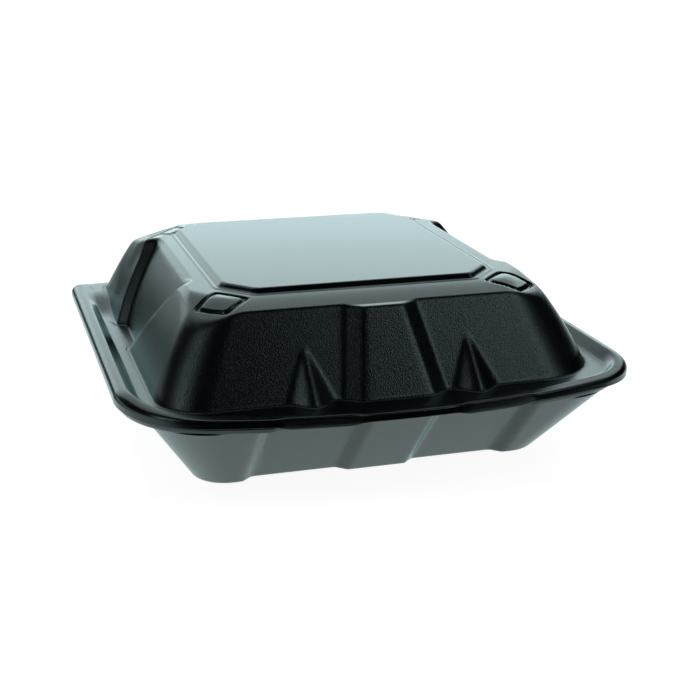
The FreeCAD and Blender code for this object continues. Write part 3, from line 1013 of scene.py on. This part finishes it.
@dataclass(frozen=True)
class Softbox:
    """One large studio lamp, aimed at a point above the middle of the floor."""

    name: str
    place: Triple
    size: Pair
    radiance: float
    tint: Triple = (0.97, 1.0, 1.0)
    shines: bool = True
    aim: Triple = (0.0, 0.0, 0.045)

    def build(self) -> bpy.types.Object:
        """Makes the lamp and turns it to its aim. Its power is pi x its area x its radiance."""
        data = bpy.data.lights.new(self.name, "AREA")
        data.shape = "RECTANGLE"
        data.size, data.size_y = self.size
        data.energy = math.pi * self.size[0] * self.size[1] * self.radiance
        data.color = self.tint
        lamp = placed(self.name, data)
        lamp.location = self.place
        lamp.visible_glossy = self.shines
        away = Vector(self.place) - Vector(self.aim)
        lamp.rotation_euler = away.to_track_quat("Z", "Y").to_euler()
        return lamp


@dataclass(frozen=True)
class Flag:
    """A black card out of the camera's sight, which keeps dark what the foam reflects."""

    name: str
    corners: tuple[Triple, ...]
    soaks_light: bool = True

    def build(self) -> bpy.types.Object:
        """Makes the card, which only reflections and, if it soaks light, soft light meet."""
        mesh = bpy.data.meshes.new(self.name)
        mesh.from_pydata(self.corners, [], [(0, 1, 2, 3)])
        card = placed(self.name, mesh)
        made = bpy.data.materials.new(self.name + "_black")
        made.use_nodes = True
        shader = made.node_tree.nodes["Principled BSDF"]
        shader.inputs["Base Color"].default_value = (0.012, 0.014, 0.015, 1.0)
        shader.inputs["Roughness"].default_value = 1.0
        shader.inputs["Specular IOR Level"].default_value = 0.0
        mesh.materials.append(made)
        card.visible_camera = False
        card.visible_shadow = False
        card.visible_diffuse = self.soaks_light
        return card


def floor_shade_sheet(name: str, *corners: Pair) -> Flag:
    """A black sheet just over the floor, which only reflections meet: painted shade on the floor
    where the foam reflects it.
    """
    return Flag(name, tuple((x, y, 0.002) for x, y in corners), False)


@dataclass
class Studio:
    """White floor and surroundings, softboxes, black cards, and the photograph's camera."""

    camera_place: Triple = (-160.2, -526.9, 214.4)
    yaw: float = 16.62
    pitch: float = 18.85
    roll: float = 0.34
    focal: float = 1282.2
    centre: Pair = (328.7, 362.1)
    frame_size: float = 700.0
    floor_half: float = 6.0
    floor_paint: float = 0.45
    floor_lift: float = 0.93
    world_light: float = 0.35
    lamps: tuple[Softbox, ...] = (
        Softbox("softbox_back", (0.30, 1.80, 0.57), (2.6, 0.72), 0.9),
        Softbox("strip_back", (0.30, 1.76, 0.32), (2.6, 0.24), 1.1),
        Softbox("softbox_top", (-0.2, 0.5, 1.9), (1.2, 1.0), 3.0, shines=False),
        Softbox("strip_left", (-0.985, -0.28, 0.86), (0.22, 0.7), 3.6),
        Softbox("softbox_right", (0.68, -0.69, 0.92), (0.32, 0.7), 2.9),
    )
    flags: tuple[Flag, ...] = (
        Flag("flag_front", (
            (-1.7, -1.3, 0), (1.7, -1.3, 0), (1.7, -0.45, 2.6), (-1.7, -0.45, 2.6),
        )),
        Flag("flag_top", (
            (-1.7, -0.45, 2.6), (1.7, -0.45, 2.6), (1.7, 1.2, 2.3), (-1.7, 1.2, 2.3),
        )),
        Flag("flag_left", (
            (-1.5, -1.3, 0.3), (-1.05, 1.85, 0.3), (-1.05, 1.85, 1.9), (-1.5, -1.3, 2.3),
        )),
        Flag("flag_right", ((1.5, -1.3, 0), (1.9, 1.75, 0), (1.9, 1.75, 1.9), (1.5, -1.3, 2.3))),
        Flag("flag_back", ((-1.1, 1.7, 0), (1.7, 1.7, 0), (1.7, 1.7, 0.2), (-1.1, 1.7, 0.2))),
        # Painted shade: black sheets over the floor, unseen by the camera, darken the floor in the
        # foam's reflections at the back left and in front.
        floor_shade_sheet("floor_shade_sheet_left", (-1.5, 0.08), (-0.17, 0.08), (-0.15, 1.7), (-1.5, 1.7)),
        floor_shade_sheet("floor_shade_sheet_front", (-1.6, -1.3), (1.6, -1.3), (0.5, -0.135), (-0.25, -0.135)),
    )

    def floor(self) -> bpy.types.Object:
        """A plain white floor: pure white to the camera but for the object's soft shadow."""
        mesh = bpy.data.meshes.new("floor")
        turns = ((-1, -1), (1, -1), (1, 1), (-1, 1))
        corners = [(a * self.floor_half, b * self.floor_half, 0) for a, b in turns]
        mesh.from_pydata(corners, [], [(0, 1, 2, 3)])
        floor = placed("floor", mesh)
        made = bpy.data.materials.new("white_floor")
        made.use_nodes = True
        tree, link = made.node_tree, made.node_tree.links.new
        tree.nodes.clear()
        out = add_node(tree, "OutputMaterial")
        paint = add_node(tree, "BsdfDiffuse", Color=(*[self.floor_paint] * 3, 1.0))
        lift = add_node(tree, "Emission", Color=(1.0, 1.0, 1.0, 1.0))
        level = add_node(tree, "Math", "MULTIPLY")
        level.inputs[1].default_value = self.floor_lift
        both = add_node(tree, "AddShader")
        link(white_rays(tree), level.inputs[0])
        link(level.outputs[0], lift.inputs["Strength"])
        link(paint.outputs[0], both.inputs[0])
        link(lift.outputs[0], both.inputs[1])
        link(both.outputs[0], out.inputs["Surface"])
        mesh.materials.append(made)
        return floor

    def world(self) -> None:
        """White to the camera and in reflections, dimmer as a lamp."""
        world = bpy.data.worlds.new("studio_white")
        bpy.context.scene.world = world
        world.use_nodes = True
        tree, link = world.node_tree, world.node_tree.links.new
        back = tree.nodes["Background"]
        back.inputs["Color"].default_value = (1.0, 1.0, 1.0, 1.0)
        level = add_node(tree, "MapRange", To_Min=self.world_light, To_Max=1.0)
        link(white_rays(tree), level.inputs["Value"])
        link(level.outputs["Result"], back.inputs["Strength"])

    def camera(self) -> bpy.types.Object:
        """The camera, from its yaw, its pitch down, its roll, and its focal length in pixels."""
        yaw, pitch, roll = (math.radians(a) for a in (self.yaw, self.pitch, self.roll))
        level = Vector((math.cos(yaw), -math.sin(yaw), 0.0))
        ahead = math.cos(pitch)
        look = Vector((math.sin(yaw) * ahead, math.cos(yaw) * ahead, -math.sin(pitch)))
        rise = level.cross(look)
        right = math.cos(roll) * level + math.sin(roll) * rise
        up = -math.sin(roll) * level + math.cos(roll) * rise
        data = bpy.data.cameras.new("camera")
        data.sensor_width = 36.0
        data.lens = self.focal / self.frame_size * data.sensor_width
        data.shift_x = (self.frame_size / 2 - self.centre[0]) / self.frame_size
        data.shift_y = (self.centre[1] - self.frame_size / 2) / self.frame_size
        data.clip_start, data.clip_end = 0.02, 30.0
        camera = placed("camera", data)
        turn = Matrix((right, up, -look)).transposed().to_4x4()
        camera.matrix_world = Matrix.Translation(Vector(self.camera_place) * MM) @ turn
        bpy.context.scene.camera = camera
        return camera

    def build(self) -> None:
        """Sets the scene up around the object."""
        bpy.context.scene.view_settings.view_transform = "Standard"
        self.floor()
        self.world()
        for piece in self.lamps + self.flags:
            piece.build()
        self.camera()


def main() -> None:
    logging.basicConfig(level=logging.INFO, format="%(name)s: %(message)s")
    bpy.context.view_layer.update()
    Studio().build()
    for part in (Tray(FoamFinish("tray_black_foam")), Lid(FoamFinish("lid_black_foam"))):
        piece = part.build()
        mesh = piece.data
        LOG.info("%s: %d vertices, %d faces", piece.name, len(mesh.vertices), len(mesh.polygons))


if __name__ == "__main__":
    main()
